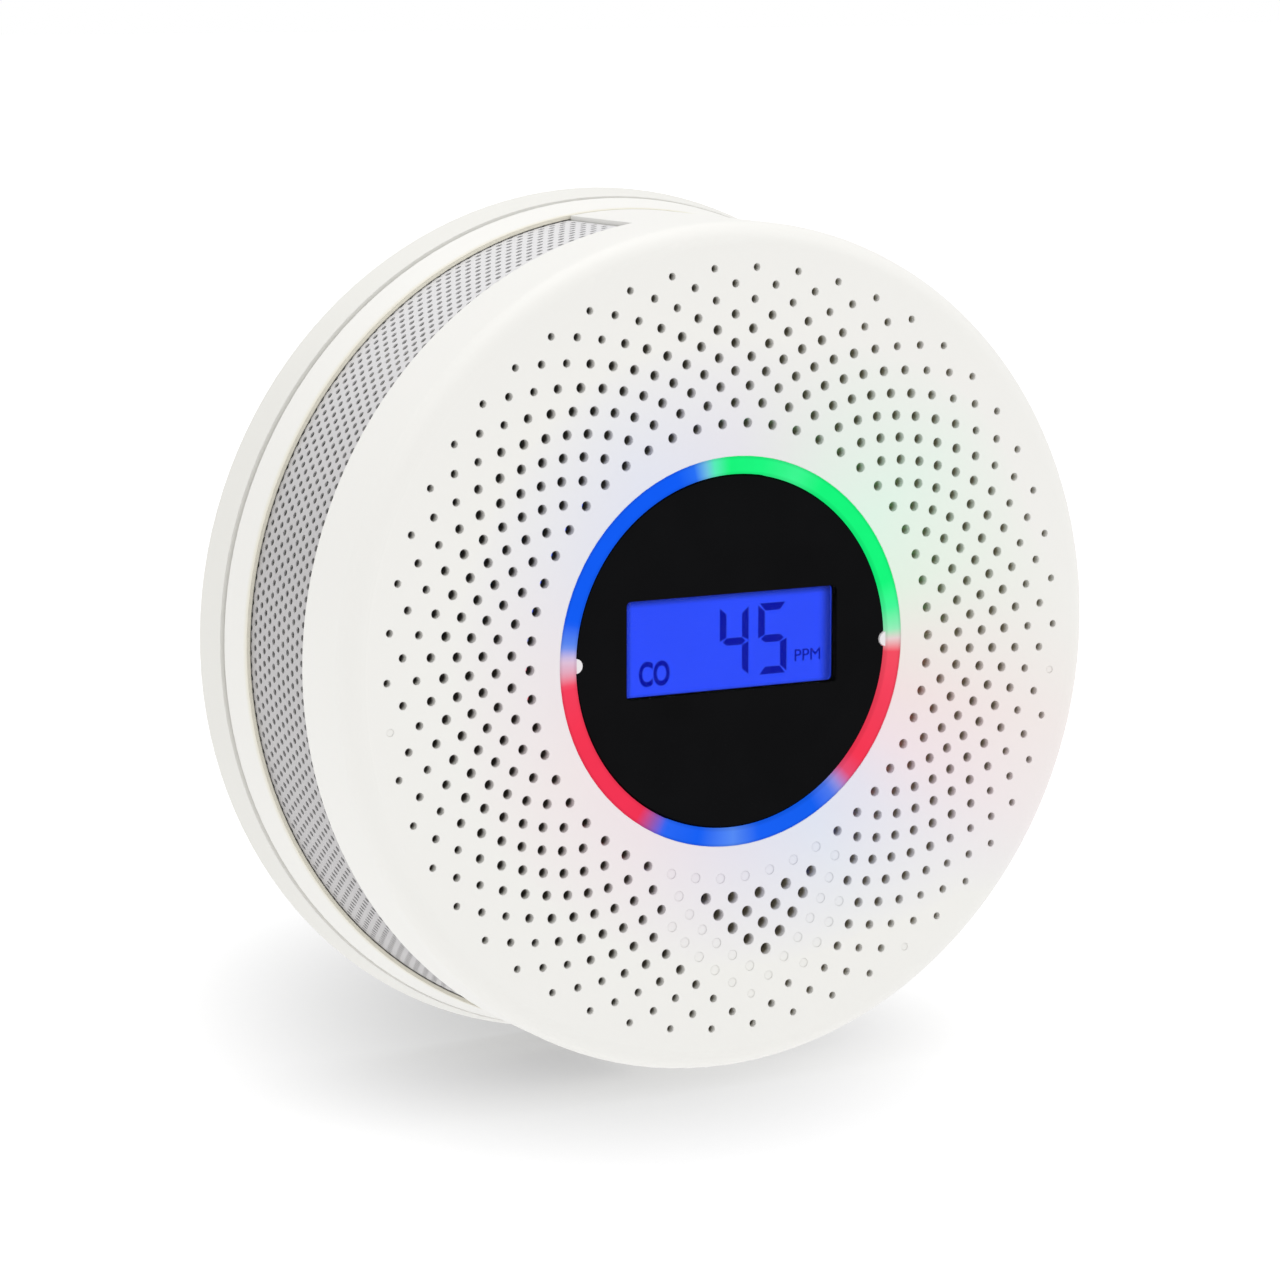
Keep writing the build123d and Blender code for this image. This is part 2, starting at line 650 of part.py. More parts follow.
def wall_slot(side):
    outline = Pos(side * WALL_HOLE_PITCH / 2, 0) * SlotOverall(WALL_SLOT_LENGTH, 2 * WALL_HOLE_R)
    return extrude(outline, WEB_SHEET)


def mounting_plate():
    plate = plate_ring()
    for angle in LUG_ANGLES:
        plate += sector(LEDGE_INNER_R, PLATE_WALL_R + 0.5, LEDGE_LOW, LEDGE_HIGH, angle, LEDGE_HALF_ANGLE)
        for offset in STOP_ANGLES:
            plate += sector(LUG_INNER_R, PLATE_WALL_R + 0.5, WEB_SHEET - 0.5, LEDGE_HIGH,
                            angle + offset, STOP_HALF_ANGLE)
    for side in (-1, 1):
        plate -= wall_slot(side)
        plate -= disc(WALL_HOLE_R, 0, WEB_SHEET, y=side * WALL_HOLE_PITCH / 2)
    for angle in (45, 135, 225, 315):
        plate -= sector(POCKET_INNER_R, POCKET_OUTER_R, 0, POCKET_DEPTH, angle, POCKET_HALF_ANGLE)
    return plate


save(front_cover(), "front_cover")
save(side_screens(), "side_screens")
save(light_ring(), "light_ring")
save(display_lens(), "display_lens")
save(button_body(), "button_body")
save(lcd_panel(), "lcd_panel")
save(lcd_backlight(), "lcd_backlight")
save(lcd_elastomer(), "lcd_elastomer")
save(lcd_frame(), "lcd_frame")
save(display_board(), "display_board")
save(display_ribbon(), "display_ribbon")
save(ribbon_connector(), "ribbon_connector")
save(main_board(), "main_board")
save(ring_leds(), "ring_leds")
save(test_switch(), "test_switch")
save(switch_plunger(), "switch_plunger")
save(microcontroller(), "microcontroller")
save(sounder_coil(), "sounder_coil")
save(capacitors(), "capacitors")
save(board_screws(), "board_screws")
save(horn_housing(), "horn_housing")
save(horn_gasket(), "horn_gasket")
save(piezo_plate(), "piezo_plate")
save(piezo_ceramic(), "piezo_ceramic")
save(horn_contacts(), "horn_contacts")
save(co_sensor(), "co_sensor")
save(sensor_cap(), "sensor_cap")
save(sensor_filter(), "sensor_filter")
save(sensor_pins(), "sensor_pins")
save(rear_housing(), "rear_housing")
save(cover_screws(), "cover_screws")
save(battery(1), "battery_upper")
save(battery(-1), "battery_lower")
save(battery_springs(), "battery_springs")
save(contact_plates(), "contact_plates")
save(battery_door(), "battery_door")
save(door_hinge_pin(), "door_hinge_pin")
save(door_label(), "door_label")
save(mounting_plate(), "mounting_plate")
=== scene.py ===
"""Carbon monoxide detector: materials, punched side screens, display segments, studio and camera."""
from math import cos, radians, sin, sqrt, tau

import bmesh
import bpy
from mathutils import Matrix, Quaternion, Vector


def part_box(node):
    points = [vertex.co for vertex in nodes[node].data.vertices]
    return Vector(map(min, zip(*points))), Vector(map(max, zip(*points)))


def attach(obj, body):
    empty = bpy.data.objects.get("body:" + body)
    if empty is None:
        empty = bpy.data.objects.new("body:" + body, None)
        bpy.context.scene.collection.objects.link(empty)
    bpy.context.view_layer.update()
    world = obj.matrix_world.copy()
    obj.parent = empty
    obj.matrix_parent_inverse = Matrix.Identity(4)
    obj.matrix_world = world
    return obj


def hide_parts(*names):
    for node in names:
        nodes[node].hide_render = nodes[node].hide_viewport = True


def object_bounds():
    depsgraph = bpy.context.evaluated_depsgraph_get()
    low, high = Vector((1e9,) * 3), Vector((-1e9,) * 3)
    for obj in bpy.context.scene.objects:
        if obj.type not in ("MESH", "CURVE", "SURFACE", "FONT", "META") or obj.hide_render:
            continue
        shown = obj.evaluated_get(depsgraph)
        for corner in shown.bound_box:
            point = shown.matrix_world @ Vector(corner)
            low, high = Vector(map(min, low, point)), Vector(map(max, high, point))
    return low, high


MM = 0.001
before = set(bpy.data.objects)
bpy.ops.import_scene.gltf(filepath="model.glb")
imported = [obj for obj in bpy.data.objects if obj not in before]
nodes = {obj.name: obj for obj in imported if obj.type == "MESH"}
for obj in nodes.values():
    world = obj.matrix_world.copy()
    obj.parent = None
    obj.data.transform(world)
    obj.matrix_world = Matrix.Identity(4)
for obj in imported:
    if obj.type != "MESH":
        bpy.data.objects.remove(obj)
cad_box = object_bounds()

# ---- sizes the fine detail follows, in millimetres ----
SCREEN_PITCH = 1.70             # hole to hole along a row of the side screens
ROW_STEP = SCREEN_PITCH * sqrt(3) / 2
CELL_CORNER_R = SCREEN_PITCH / sqrt(3)  # middle of a hexagonal cell to its corners
SCREEN_HOLE_R = 0.45
SCREEN_SHEET = 0.25
SCREEN_SIDES = 12               # corners of each punched hole; the cell outline has as many points
SCREEN_MARGIN = 0.15            # least metal between a hole and the sheet's edge
HOLE_FIELD_R = 54.0             # the perforations of the face lie within this radius
BORE_SHADE_SHIFT_HALF_W = 35.0        # painted shade in the holes' walls turns from dark to olive between this far left and right
PILLAR_HALF_ANGLE = 8.5         # degrees
END_GAP = 0.35                  # degrees between a screen's end and the pillar
LIP_SHADE_START_Y = -9.6              # the rear housing thins to a lip between these depths, where a cream painted shade of a rounded edge fades in
LIP_SHADE_END_Y = -10.5
RING_INNER_R = 24.05
RING_OUTER_R = 26.4
RING_MIDDLE_R = (RING_INNER_R + RING_OUTER_R) / 2
WINDOW_HALF_W = 16.25           # clear window in the lens's black print
WINDOW_HALF_H = 6.6
WINDOW_Z = 1.32
WINDOW_CORNER_R = 0.6
DIGIT_W = 4.45
DIGIT_H = 9.7
STROKE = 1.0
BAR_GAP = 0.2                   # a bar's nominal end stops this short of the crossing bar's centre line
SEGMENT_SHEET = 0.02
SEGMENT_AIR = 0.005             # between the digits' ink and the panel
LABEL_HALF_W = 20.6             # printed border of the door's label
LABEL_HALF_H = 7.6
LABEL_Z = 1.5
LABEL_LINE = 0.3
LABEL_ROW = 1.8                 # between ruled rows

# ---- colours, as seen (sRGB, 0 to 255) ----
WHITE_ABS = (240, 239, 235)
SCREEN_GREY = (196, 194, 194)
SCREEN_GREY_DULL = (186, 184, 185)
SCREEN_WORN = (214, 212, 212)
# Painted light: the screens are paler towards the top, as if lit from above.
SCREEN_TOP_LIT = (226, 225, 226)
LCD_BLUE = (44, 78, 255)
SEGMENT_NAVY = (0, 13, 165)
LENS_BLACK = (6, 6, 6)
LENS_BLACK_WORN = (14, 14, 15)
# Painted shade in the walls of the face's holes: dark on the left, olive on the right.
BORE_SHADE_DARK = (92, 88, 80)
BORE_SHADE_OLIVE = (190, 182, 160)
# Cream painted shade on the rear housing's lip, standing in for the shading of a rounded edge.
LIP_PAINTED_SHADE = (232, 228, 212)
KEY_GLOW = (238, 228, 230)
KEY_WHITE = (225, 222, 224)

# ---- how lit and clear parts behave ----
LENS_IOR = 1.32                 # coated, so that it mirrors less than bare plastic
LENS_GLOSS = 0.16               # share of the mirror image that is kept
RING_DARKENING = 0.97           # keeps studio light on the ring from washing its colours out
WALL_SPILL = 0.9                # painted glow of display light on the window's walls, as a share of the display's own
# Painted shade of the window's walls on the display, put in as fades of its backlight: where it is dimmest,
# where it is full (mm), and how dim.
WALL_SHADE_RIGHT = (16.2, 14.2, 0.3)
WALL_SHADE_LEFT = (-15.2, -14.7, 0.6)
WALL_SHADE_TOP = (7.7, 6.6, 0.35)
WALL_SHADE_BOTTOM = (-5.3, -4.8, 0.7)

# ---- camera ----
CAMERA_AZIMUTH = 30.4           # degrees to the left of the face's axis
CAMERA_ELEVATION = 9.35         # degrees
CAMERA_ROLL = 0.08              # degrees
CAMERA_LENS = 122               # focal length in millimetres
CAMERA_DISTANCE = 581           # millimetres from the middle of the face
CAMERA_AIM = (-3.0, -20.5, -1.0)    # millimetres

# ---- studio: strengths tuned so that the white face is not burnt out ----
WORLD_LIGHT = 0.78
FLOOR_BOUNCE = 0.81             # back-lit floor's light as the object sees it
SHADE_GLOW = 0.355              # its light as the camera sees it, in the middle of the painted shadow below the object
OPEN_GLOW = 0.964               # the same, out in the open
SHADE_CENTRE = (0, 12, 0)       # millimetres
SHADE_REACH = 141.0             # millimetres along the shade's long axis
SHADE_STRETCH = 1.64            # long axis over short axis
SHADE_TURN = 72.4               # degrees from the X axis to the long axis
FLOOR_HALF_SIZE = 6.0           # metres
FLOOR_PALE = (0.24, 0.24, 0.24, 1)
FLOOR_DULL = (0.23, 0.23, 0.23, 1)
LAMP_TARGET = (0, -0.02, 0)     # metres
# Lamps: name, place in metres, diameter in metres, power in watts.
LAMPS = (
    ("key", (-1.3, -0.7, 1.6), 2.0, 3.5),
    ("fill", (1.2, -0.9, 1.3), 1.6, 4.6),
    ("overhead", (0.0, 0.3, 2.0), 2.2, 12.0),
)

# ---- light ring and its glow on the face ----
# Ring: angle counter-clockwise from the right, colour.
RING_COLOURS = (
    (0, (236, 214, 214)), (3, (150, 245, 190)), (10, (68, 254, 157)), (18, (20, 254, 128)),
    (58, (20, 253, 128)), (68, (62, 254, 150)), (80, (28, 252, 131)), (92, (22, 252, 127)),
    (97, (90, 245, 190)), (100, (115, 194, 235)), (104, (40, 115, 252)), (110, (14, 94, 252)),
    (167, (16, 94, 250)), (174, (100, 145, 247)), (178, (225, 200, 225)), (182, (235, 170, 190)),
    (186, (252, 66, 95)), (200, (251, 56, 84)), (235, (248, 53, 86)), (240, (165, 88, 168)),
    (245, (40, 105, 249)), (258, (20, 98, 251)), (270, (87, 142, 252)), (279, (22, 98, 250)),
    (300, (18, 98, 248)), (307, (80, 125, 245)), (310, (148, 149, 230)), (315, (237, 79, 118)),
    (321, (251, 56, 84)), (345, (251, 68, 94)), (356, (250, 80, 100)), (360, (236, 214, 214)),
)
# Painted tint that the ring's light gives the white face near it: angle, colour, how far it reaches in mm
# from the centre.
GLOW_TINTS = (
    (0, (237, 232, 226), 56), (15, (227, 241, 226), 50), (38, (222, 244, 229), 50),
    (60, (227, 238, 229), 46), (75, (230, 232, 230), 42), (90, (230, 228, 235), 42),
    (120, (226, 228, 240), 43), (150, (229, 229, 237), 42), (180, (236, 229, 232), 42),
    (210, (240, 229, 230), 43), (240, (238, 227, 231), 42), (270, (229, 226, 236), 43),
    (298, (222, 227, 241), 46), (315, (228, 226, 238), 52), (330, (240, 224, 230), 70),
    (345, (241, 225, 224), 72), (360, (237, 232, 226), 56),
)
GLOW_REACH = 80.0               # reach that counts as 1 in the ramp's alpha
GLOW_FADE = 0.8                 # power of the fall-off with distance

# ---- what the display shows ----
READING = (("4", 1.05), ("5", 7.03))    # digit and its centre in x
DIGIT_Z = 1.15
# Small words: piece name, letters, height, squeeze of the width, left edge, base line, boldness.
DISPLAY_WORDS = (
    ("display_gas", "CO", 3.4, 0.70, -13.6, -3.95, 0.03),
    ("display_unit", "PPM", 1.6, 1.04, 10.55, -2.3, 0.0),
)
# Lit bars of a seven-bar digit, by position.
BARS_OF = {"4": ("upper_left", "upper_right", "middle", "lower_right"),
           "5": ("top", "upper_left", "middle", "lower_right", "bottom")}


# ---- node helpers ----
def linear(colour):
    """sRGB 0 to 255 as a linear RGBA tuple."""
    def channel(value):
        value /= 255
        return value / 12.92 if value <= 0.04045 else ((value + 0.055) / 1.055) ** 2.4

    return tuple(channel(value) for value in colour) + (1.0,)


def dimmed(colour, share):
    """Linear colour with a share of its light taken away."""
    return tuple(part * (1 - share) for part in linear(colour)[:3]) + (1.0,)


def node(mat, kind, inputs=None, **settings):
    """Adds one shader node; an input can be a value or another node's output."""
    made = mat.node_tree.nodes.new("ShaderNode" + kind)
    for key, value in settings.items():
        setattr(made, key, value)
    for key, value in (inputs or {}).items():
        if isinstance(value, bpy.types.NodeSocket):
            mat.node_tree.links.new(value, made.inputs[key])
        else:
            made.inputs[key].default_value = value
    return made


def maths(mat, operation, first, second=0.0, clamp=False):
    return node(mat, "Math", {0: first, 1: second}, operation=operation, use_clamp=clamp).outputs[0]


def between(mat, value, start, end, low=0.0, high=1.0):
    """Smooth step from low, where value is start, to high, where it is end."""
    inputs = {"Value": value, "From Min": start, "From Max": end, "To Min": low, "To Max": high}
    return node(mat, "MapRange", inputs, interpolation_type="SMOOTHSTEP").outputs["Result"]


def mix(mat, factor, first, second):
    return node(mat, "Mix", {0: factor, 6: first, 7: second}, data_type="RGBA").outputs[2]


def place(mat, stretch=(1, 1, 1)):
    """Position on the object in millimetres, in the row frame, stretched if asked."""
    coords = node(mat, "TexCoord").outputs["Object"]
    scale = tuple(1 / MM * part for part in stretch)
    return node(mat, "Mapping", {"Vector": coords, "Scale": scale}).outputs["Vector"]


def noise(mat, where, size, detail=2.0, rough=0.5):
    """Noise whose lumps are about size millimetres across."""
    inputs = {"Vector": where, "Scale": 1 / size, "Detail": detail, "Roughness": rough}
    return node(mat, "TexNoise", inputs).outputs["Fac"]


def relief(mat, height, depth, under=None):
    """Bump of depth millimetres from a 0 to 1 height."""
    inputs = {"Height": height, "Distance": depth * MM, "Strength": 1.0}
    if under is not None:
        inputs["Normal"] = under
    return node(mat, "Bump", inputs).outputs["Normal"]


def softened_edges(mat, radius):
    return node(mat, "Bevel", {"Radius": radius * MM}, samples=4).outputs["Normal"]


def edge_mask(mat, rounded):
    """0 on flat faces, rising towards 1 on edges, from how far the rounded normal has turned."""
    plain = node(mat, "NewGeometry").outputs["Normal"]
    agree = node(mat, "VectorMath", {0: rounded, 1: plain}, operation="DOT_PRODUCT").outputs["Value"]
    return between(mat, agree, 0.995, 0.85)


def new_material(name):
    mat = bpy.data.materials.new(name)
    mat.use_nodes = True
    return mat


def principled(mat, **inputs):
    shader = mat.node_tree.nodes["Principled BSDF"]
    for key, value in inputs.items():
        socket = shader.inputs[key.replace("_", " ")]
        if isinstance(value, bpy.types.NodeSocket):
            mat.node_tree.links.new(value, socket)
        else:
            socket.default_value = value


def colour_ramp(mat, factor, stops, alphas=None):
    ramp = node(mat, "ValToRGB", {"Fac": factor})
    elements = ramp.color_ramp.elements
    while len(elements) < len(stops):
        elements.new(0.5)
    for index, (position, colour) in enumerate(stops):
        elements[index].position = position
        alpha = alphas[index] if alphas else 1.0
        elements[index].color = linear(colour)[:3] + (alpha,)
    return ramp


def angle_round_axis(mat, where):
    """Angle round the alarm's axis, counter-clockwise from the right, as 0 to 1."""
    split = node(mat, "SeparateXYZ", {"Vector": where}).outputs
    turn = maths(mat, "ARCTAN2", split["Z"], split["X"])
    return maths(mat, "FRACT", maths(mat, "MULTIPLY", turn, 1 / tau))


def radius_from_axis(mat, where):
    flat = node(mat, "VectorMath", {0: where, 1: (1, 0, 1)}, operation="MULTIPLY").outputs[0]
    return node(mat, "VectorMath", {0: flat}, operation="LENGTH").outputs["Value"]


# ---- materials ----
def moulded(name, colour, roughness=0.42, grain=0.16, depth=0.006, mottle=0.03, edge=0.18, base=None, **more):
    """Moulded plastic: spark-eroded grain, slow flow marks in tone and sheen, softly rounded edges.

    base, if given, is a function that makes the colour as a node output in the material.
    """
    mat = new_material(name)
    where = place(mat)
    fine = noise(mat, where, grain, 3, 0.65)
    flow = noise(mat, where, 14, 3)
    rounded = softened_edges(mat, edge)
    worn = edge_mask(mat, rounded)
    if base:
        tone = mix(mat, maths(mat, "MULTIPLY", flow, 2 * mottle), base(mat), dimmed(colour, mottle))
    else:
        tone = mix(mat, flow, linear(colour), dimmed(colour, mottle))
    sheen = maths(mat, "ADD", maths(mat, "MULTIPLY", flow, 0.12), roughness - 0.06)
    sheen = maths(mat, "SUBTRACT", sheen, maths(mat, "MULTIPLY", worn, 0.10))
    bump = relief(mat, fine, depth, relief(mat, flow, depth * 6, rounded))
    principled(mat, Base_Color=tone, Roughness=sheen, Normal=bump, **more)
    return mat


def glow_on_face(mat):
    """White plastic, with the light ring's glow painted on as a tint near the ring, and painted shade in the
    walls of the holes, darker on the left.
    """
    where = place(mat)
    stops = [(angle / 360, tint) for angle, tint, reach in GLOW_TINTS]
    alphas = [reach / GLOW_REACH for angle, tint, reach in GLOW_TINTS]
    tint = colour_ramp(mat, angle_round_axis(mat, where), stops, alphas)
    reach = maths(mat, "MULTIPLY", tint.outputs["Alpha"], GLOW_REACH)
    radius = radius_from_axis(mat, where)
    left = maths(mat, "SUBTRACT", reach, radius)
    share = maths(mat, "DIVIDE", left, maths(mat, "SUBTRACT", reach, RING_OUTER_R + 1), clamp=True)
    share = maths(mat, "POWER", share, GLOW_FADE)
    split = node(mat, "SeparateXYZ", {"Vector": where}).outputs
    below_face = maths(mat, "SUBTRACT", split["Y"], cad_box[0].y / MM)
    share = maths(mat, "MULTIPLY", share, between(mat, below_face, 5.0, 1.0))
    # painted light: the ring's glow mixed into the face's colour
    face = mix(mat, share, linear(WHITE_ABS), tint.outputs["Color"])
    in_field = between(mat, radius, HOLE_FIELD_R + 0.6, HOLE_FIELD_R)
    # painted shade: the holes' walls darken with depth below the face, more on the left
    bore_shade = maths(mat, "MULTIPLY", between(mat, below_face, 0.55, 1.4), in_field)
    from_left = between(mat, split["X"], -BORE_SHADE_SHIFT_HALF_W, BORE_SHADE_SHIFT_HALF_W)
    return mix(mat, bore_shade, face, mix(mat, from_left, linear(BORE_SHADE_DARK), linear(BORE_SHADE_OLIVE)))


def shaded_rim(mat):
    """White plastic, with a cream painted shade where it thins to the lip round the side screens."""
    depth = node(mat, "SeparateXYZ", {"Vector": place(mat)}).outputs["Y"]
    return mix(mat, between(mat, depth, LIP_SHADE_START_Y, LIP_SHADE_END_Y), linear(WHITE_ABS), linear(LIP_PAINTED_SHADE))


def lit_ring(name):
    """Milky light guide: coloured from behind, brighter along the middle of its width, its keys unlit."""
    mat = new_material(name)
    where = place(mat)
    stops = [(angle / 360, tint) for angle, tint in RING_COLOURS]
    ramp = colour_ramp(mat, angle_round_axis(mat, where), stops)
    radius = radius_from_axis(mat, where)
    off_middle = maths(mat, "ABSOLUTE", maths(mat, "SUBTRACT", radius, RING_MIDDLE_R))
    across = between(mat, off_middle, 1.1, 0.7, 0.85, 1.0)
    key = between(mat, radius, RING_INNER_R - 0.05, RING_INNER_R - 0.2)
    cloud = noise(mat, where, 2.5, 3)
    strength = maths(mat, "MULTIPLY", across, maths(mat, "ADD", maths(mat, "MULTIPLY", cloud, 0.10), 0.86))
    glow = mix(mat, key, ramp.outputs["Color"], linear(KEY_GLOW))
    surface = mix(mat, RING_DARKENING, glow, (0, 0, 0, 1))
    surface = mix(mat, key, surface, linear(KEY_WHITE))
    strength = maths(mat, "MULTIPLY", strength, between(mat, key, 0, 1, 1.0, 0.12))
    fine = noise(mat, where, 0.12, 2)
    principled(mat, Base_Color=surface, Emission_Color=glow, Emission_Strength=strength,
               Roughness=maths(mat, "ADD", maths(mat, "MULTIPLY", cloud, 0.1), 0.32),
               Normal=relief(mat, fine, 0.003, softened_edges(mat, 0.15)), Specular_IOR_Level=0.02)
    return mat


def printed_lens(name):
    """Hard-coated lens, printed black except over the display window, with hairline polish marks."""
    mat = new_material(name)
    where = place(mat)
    split = node(mat, "SeparateXYZ", {"Vector": where}).outputs
    beside = maths(mat, "SUBTRACT", maths(mat, "ABSOLUTE", split["X"]), WINDOW_HALF_W - WINDOW_CORNER_R)
    above = maths(mat, "SUBTRACT", split["Z"], WINDOW_Z)
    above = maths(mat, "SUBTRACT", maths(mat, "ABSOLUTE", above), WINDOW_HALF_H - WINDOW_CORNER_R)
    beside = maths(mat, "MAXIMUM", beside, 0.0)
    above = maths(mat, "MAXIMUM", above, 0.0)
    past = node(mat, "CombineXYZ", {"X": beside, "Y": above}).outputs["Vector"]
    past = node(mat, "VectorMath", {0: past}, operation="LENGTH").outputs["Value"]
    outside = maths(mat, "GREATER_THAN", past, WINDOW_CORNER_R)
    haze = noise(mat, where, 9, 3)
    polish = noise(mat, place(mat, (1.0, 1.0, 0.15)), 0.25, 3, 0.7)
    normal = relief(mat, polish, 0.0004, softened_edges(mat, 0.12))
    fresnel = node(mat, "Fresnel", {"IOR": LENS_IOR, "Normal": normal}).outputs[0]
    fresnel = maths(mat, "MULTIPLY", fresnel, LENS_GLOSS)
    sharp = maths(mat, "ADD", maths(mat, "MULTIPLY", haze, 0.05), 0.03)
    gloss_inputs = {"Color": (0.9, 0.92, 1, 1), "Roughness": sharp, "Normal": normal}
    gloss = node(mat, "BsdfGlossy", gloss_inputs).outputs[0]
    clear = node(mat, "BsdfTransparent", {"Color": (0.97, 0.97, 0.98, 1)}).outputs[0]
    ink = mix(mat, haze, linear(LENS_BLACK), linear(LENS_BLACK_WORN))
    print_layer = node(mat, "BsdfDiffuse", {"Color": ink}).outputs[0]
    through = node(mat, "MixShader", {0: outside, 1: clear, 2: print_layer}).outputs[0]
    both = node(mat, "MixShader", {0: fresnel, 1: through, 2: gloss}).outputs[0]
    mat.node_tree.links.new(both, mat.node_tree.nodes["Material Output"].inputs["Surface"])
    return mat


def window_carrier(name):
    """Black plastic whose window walls have a little of the display's blue light painted on as a glow."""
    mat = moulded(name, LENS_BLACK, roughness=0.6, depth=0.001, mottle=0.2, edge=0.1, Specular_IOR_Level=0.0)
    split = node(mat, "SeparateXYZ", {"Vector": place(mat)}).outputs
    across = maths(mat, "ABSOLUTE", split["X"])
    up = maths(mat, "ABSOLUTE", maths(mat, "SUBTRACT", split["Z"], WINDOW_Z))
    on_wall = maths(mat, "MULTIPLY", between(mat, across, WINDOW_HALF_W + 0.1, WINDOW_HALF_W - 0.05),
                    between(mat, up, WINDOW_HALF_H + 0.1, WINDOW_HALF_H - 0.05))
    carrier_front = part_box("button_body")[0].y / MM
    glass_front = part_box("lcd_panel")[0].y / MM
    near_glass = between(mat, split["Y"], carrier_front, glass_front)
    spill = maths(mat, "MULTIPLY", maths(mat, "MULTIPLY", on_wall, near_glass), WALL_SPILL)
    principled(mat, Emission_Color=linear(LCD_BLUE), Emission_Strength=spill)
    return mat


def lcd_glow(name):
    """Backlit liquid crystal, with the shade of its window's walls painted on as dimming near the edges."""
    mat = new_material(name)
    where = place(mat)
    split = node(mat, "SeparateXYZ", {"Vector": where}).outputs
    right = between(mat, split["X"], *WALL_SHADE_RIGHT)
    left = between(mat, split["X"], *WALL_SHADE_LEFT)
    top = between(mat, split["Z"], *WALL_SHADE_TOP)
    bottom = between(mat, split["Z"], *WALL_SHADE_BOTTOM)
    # painted shade of the window's walls
    edge = maths(mat, "MULTIPLY", maths(mat, "MULTIPLY", right, left), maths(mat, "MULTIPLY", top, bottom))
    cloud = noise(mat, where, 12, 2)
    strength = maths(mat, "MULTIPLY", edge, maths(mat, "ADD", maths(mat, "MULTIPLY", cloud, 0.08), 0.94))
    grain = noise(mat, where, 0.2, 2)
    rough = maths(mat, "ADD", maths(mat, "MULTIPLY", grain, 0.1), 0.3)
    principled(mat, Base_Color=linear((4, 6, 40)), Roughness=rough, Specular_IOR_Level=0.0,
               Emission_Color=linear(LCD_BLUE), Emission_Strength=strength)
    return mat


def lcd_segment(name):
    mat = new_material(name)
    where = place(mat)
    cloud = noise(mat, where, 1.5, 2)
    strength = maths(mat, "ADD", maths(mat, "MULTIPLY", cloud, 0.1), 0.9)
    principled(mat, Base_Color=linear((3, 6, 40)), Roughness=0.35, Specular_IOR_Level=0.0,
               Emission_Color=linear(SEGMENT_NAVY), Emission_Strength=strength)
    return mat


def metal(name, colour, roughness=0.3, along=(1, 0.08, 1), grain=0.12, depth=0.002, tarnish=0.12, edge=0.08):
    """Drawn or rolled metal: streaks along one direction, patches of tarnish, brighter rounded edges."""
    mat = new_material(name)
    streak = noise(mat, place(mat, along), grain, 4, 0.7)
    where = place(mat)
    patch = noise(mat, where, 2.2, 4, 0.6)
    rounded = softened_edges(mat, edge)
    tone = mix(mat, patch, linear(colour), dimmed(colour, 2 * tarnish))
    rough = maths(mat, "ADD", maths(mat, "MULTIPLY", streak, 0.18), roughness - 0.08)
    rough = maths(mat, "ADD", rough, maths(mat, "MULTIPLY", patch, 0.1))
    principled(mat, Base_Color=tone, Metallic=1.0, Roughness=rough,
               Normal=relief(mat, streak, depth, rounded))
    return mat


def punched_sheet(name):
    """Grey-lacquered perforated steel: fine orange peel, patchy tone, paler worn edges, and painted light
    that makes it paler towards the top.
    """
    mat = new_material(name)
    where = place(mat)
    peel = noise(mat, where, 0.18, 3, 0.6)
    patch = noise(mat, where, 7, 3)
    height = node(mat, "SeparateXYZ", {"Vector": where}).outputs["Z"]
    rounded = softened_edges(mat, 0.06)
    worn = edge_mask(mat, rounded)
    tone = mix(mat, patch, linear(SCREEN_GREY), linear(SCREEN_GREY_DULL))
    # painted light: paler towards the top
    tone = mix(mat, between(mat, height, 10, 52), tone, linear(SCREEN_TOP_LIT))
    tone = mix(mat, maths(mat, "MULTIPLY", worn, 0.35), tone, linear(SCREEN_WORN))
    rough = maths(mat, "ADD", maths(mat, "MULTIPLY", peel, 0.2), 0.36)
    principled(mat, Base_Color=tone, Metallic=0.15, Roughness=rough, Normal=relief(mat, peel, 0.006, rounded))
    return mat


def circuit_board(name):
    """Solder mask with tracks under it and tinned vias."""
    mat = new_material(name)
    where = place(mat)
    warped = node(mat, "VectorMath", {0: where, 1: (0.7, 0.7, 0.7)}, operation="SNAP").outputs[0]
    blocks = node(mat, "TexVoronoi", {"Vector": warped, "Scale": 0.22}, feature="F1").outputs["Distance"]
    track = between(mat, maths(mat, "PINGPONG", blocks, 0.12), 0.05, 0.07)
    cells = node(mat, "TexVoronoi", {"Vector": where, "Scale": 0.35}, feature="F1").outputs["Distance"]
    via = between(mat, cells, 0.13, 0.11)
    weave = noise(mat, where, 0.5, 2)
    mask = mix(mat, track, linear((14, 78, 44)), linear((24, 104, 60)))
    mask = mix(mat, maths(mat, "MULTIPLY", weave, 0.3), mask, linear((10, 60, 34)))
    tone = mix(mat, via, mask, linear((190, 188, 180)))
    rough = maths(mat, "ADD", maths(mat, "MULTIPLY", weave, 0.15), 0.25)
    principled(mat, Base_Color=tone, Metallic=via, Roughness=rough,
               Normal=relief(mat, track, 0.03, softened_edges(mat, 0.1)))
    return mat


